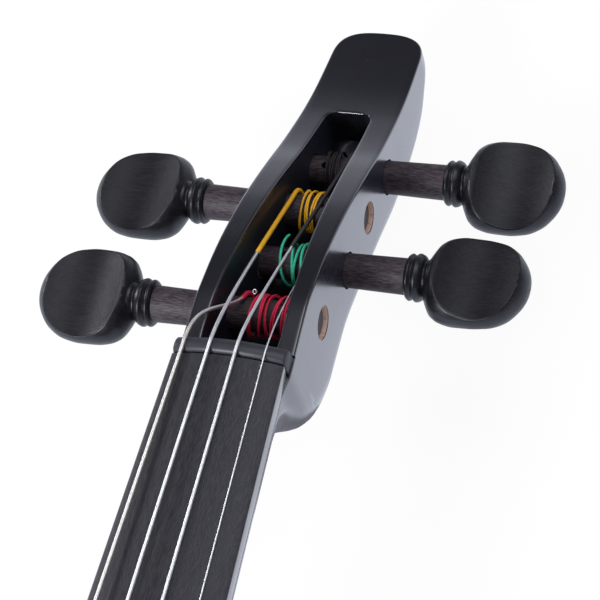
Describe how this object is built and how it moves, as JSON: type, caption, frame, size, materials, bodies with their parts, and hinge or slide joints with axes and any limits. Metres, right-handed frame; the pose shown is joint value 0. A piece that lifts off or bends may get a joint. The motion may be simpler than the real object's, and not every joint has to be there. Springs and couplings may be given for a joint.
{
  "type": "electric violin",
  "caption": "Electric violin with carved open pegbox, turned pegs with wound strings, slim electronics body, open side frames, chin rest and fine tuners.",
  "frame": {"origin": "on the flat back of the centre body, straight under the bridge", "axes": "+Y toward the head, +X toward the treble side, +Z out of the front"},
  "size_m": [0.2092, 0.6037, 0.0739],
  "materials": {
    "satin_black": "satin black paint over carved wood",
    "frame_black": "satin black",
    "black_plastic": "fine satin",
    "dark_wood": "stained hardwood, oiled",
    "board_wood": "dark hardwood, oiled",
    "bare_maple": "bare maple",
    "string_wound": "polished flat winding",
    "string_plain": "bright drawn wire",
    "silk_g": "lapped crimson thread",
    "silk_d": "lapped yellow thread",
    "silk_a": "lapped black thread",
    "silk_e": "lapped teal thread",
    "steel": "nickel plated",
    "brass": "turned brass",
    "cork": "bare cork",
    "circuit_green": "solder mask",
    "battery_case": "printed metal can without print"
  },
  "bodies": {
    "instrument": {"neck": "satin_black", "nut": "dark_wood", "fingerboard": "board_wood", "string_g": "string_wound", "string_d": "string_wound", "string_a": "string_wound", "string_e": "string_plain", "bridge": "bare_maple", "bridge_pickup": "black_plastic", "tailpiece": "black_plastic", "centre_body": "satin_black", "bass_frame": "frame_black", "treble_frame": "frame_black", "saddle": "dark_wood", "end_button": "dark_wood", "tail_gut": "black_plastic", "chin_rest": "black_plastic", "chin_rest_cork_outer": "cork", "chin_rest_cork_inner": "cork", "clamp_cork": "cork", "clamp_plate": "steel", "clamp_barrel_1": "steel", "clamp_barrel_2": "steel", "circuit_board": "circuit_green", "line_out_jack": "black_plastic", "headphone_jack": "black_plastic", "volume_pot": "black_plastic", "switch_housing": "black_plastic", "rear_cover": "black_plastic", "cover_screw_1": "steel", "cover_screw_2": "steel", "cover_screw_3": "steel", "cover_screw_4": "steel", "battery": "battery_case", "battery_door_pin": "steel"},
    "peg_g_turning": {"peg_g": "dark_wood", "winding_g": "silk_g"},
    "peg_e_turning": {"peg_e": "dark_wood", "winding_e": "silk_e"},
    "peg_d_turning": {"peg_d": "dark_wood", "winding_d": "silk_d"},
    "peg_a_turning": {"peg_a": "dark_wood", "winding_a": "silk_a"},
    "tuner_screw_g": {"fine_tuner_screw_g": "brass"},
    "tuner_lever_g": {"fine_tuner_lever_g": "steel", "string_ball_g": "brass"},
    "tuner_screw_d": {"fine_tuner_screw_d": "brass"},
    "tuner_lever_d": {"fine_tuner_lever_d": "steel", "string_ball_d": "brass"},
    "tuner_screw_a": {"fine_tuner_screw_a": "brass"},
    "tuner_lever_a": {"fine_tuner_lever_a": "steel", "string_ball_a": "brass"},
    "tuner_screw_e": {"fine_tuner_screw_e": "brass"},
    "tuner_lever_e": {"fine_tuner_lever_e": "steel", "string_ball_e": "brass"},
    "volume_control": {"volume_shaft": "steel", "volume_knob": "black_plastic"},
    "power_slider": {"power_switch": "black_plastic"},
    "battery_lid": {"battery_door": "black_plastic"}
  },
  "joints": [
    {"name": "peg_g_turn", "type": "hinge", "parent": "instrument", "child": "peg_g_turning", "pos_m": [0, 0.3472, 0.04632], "axis": [1, 0, 0], "continuous": true},
    {"name": "peg_e_turn", "type": "hinge", "parent": "instrument", "child": "peg_e_turning", "pos_m": [0, 0.3643, 0.03929], "axis": [1, 0, 0], "continuous": true},
    {"name": "peg_d_turn", "type": "hinge", "parent": "instrument", "child": "peg_d_turning", "pos_m": [0, 0.3803, 0.03515], "axis": [1, 0, 0], "continuous": true},
    {"name": "peg_a_turn", "type": "hinge", "parent": "instrument", "child": "peg_a_turning", "pos_m": [0, 0.39499, 0.02885], "axis": [1, 0, 0], "continuous": true},
    {"name": "tuner_screw_g_travel", "type": "slide", "parent": "instrument", "child": "tuner_screw_g", "axis": [0, -0.1045, 0.9945], "range_m": [-0.003, 0]},
    {"name": "tuner_lever_g_swing", "type": "hinge", "parent": "instrument", "child": "tuner_lever_g", "pos_m": [-0.0141, -0.06563, 0.05319], "axis": [1, 0, 0], "range_deg": [0, 8]},
    {"name": "tuner_screw_d_travel", "type": "slide", "parent": "instrument", "child": "tuner_screw_d", "axis": [0, -0.1045, 0.9945], "range_m": [-0.003, 0]},
    {"name": "tuner_lever_d_swing", "type": "hinge", "parent": "instrument", "child": "tuner_lever_d", "pos_m": [-0.0047, -0.06563, 0.05319], "axis": [1, 0, 0], "range_deg": [0, 8]},
    {"name": "tuner_screw_a_travel", "type": "slide", "parent": "instrument", "child": "tuner_screw_a", "axis": [0, -0.1045, 0.9945], "range_m": [-0.003, 0]},
    {"name": "tuner_lever_a_swing", "type": "hinge", "parent": "instrument", "child": "tuner_lever_a", "pos_m": [0.0047, -0.06563, 0.05319], "axis": [1, 0, 0], "range_deg": [0, 8]},
    {"name": "tuner_screw_e_travel", "type": "slide", "parent": "instrument", "child": "tuner_screw_e", "axis": [0, -0.1045, 0.9945], "range_m": [-0.003, 0]},
    {"name": "tuner_lever_e_swing", "type": "hinge", "parent": "instrument", "child": "tuner_lever_e", "pos_m": [0.0141, -0.06563, 0.05319], "axis": [1, 0, 0], "range_deg": [0, 8]},
    {"name": "volume_turn", "type": "hinge", "parent": "instrument", "child": "volume_control", "pos_m": [0, -0.10309, 0.0179], "axis": [1, 0, 0], "range_deg": [-150, 150]},
    {"name": "power_switch_slide", "type": "slide", "parent": "instrument", "child": "power_slider", "axis": [0, 1, 0], "range_m": [-0.002, 0.002]},
    {"name": "battery_door_hinge", "type": "hinge", "parent": "instrument", "child": "battery_lid", "pos_m": [0, 0.0933, 0.00195], "axis": [1, 0, 0], "range_deg": [0, 95]}
  ],
  "couplings": [
    {"joint": "tuner_lever_g_swing", "follows": "tuner_screw_g_travel", "rad_per_m": -46},
    {"joint": "tuner_lever_d_swing", "follows": "tuner_screw_d_travel", "rad_per_m": -46},
    {"joint": "tuner_lever_a_swing", "follows": "tuner_screw_a_travel", "rad_per_m": -46},
    {"joint": "tuner_lever_e_swing", "follows": "tuner_screw_e_travel", "rad_per_m": -46}
  ]
}
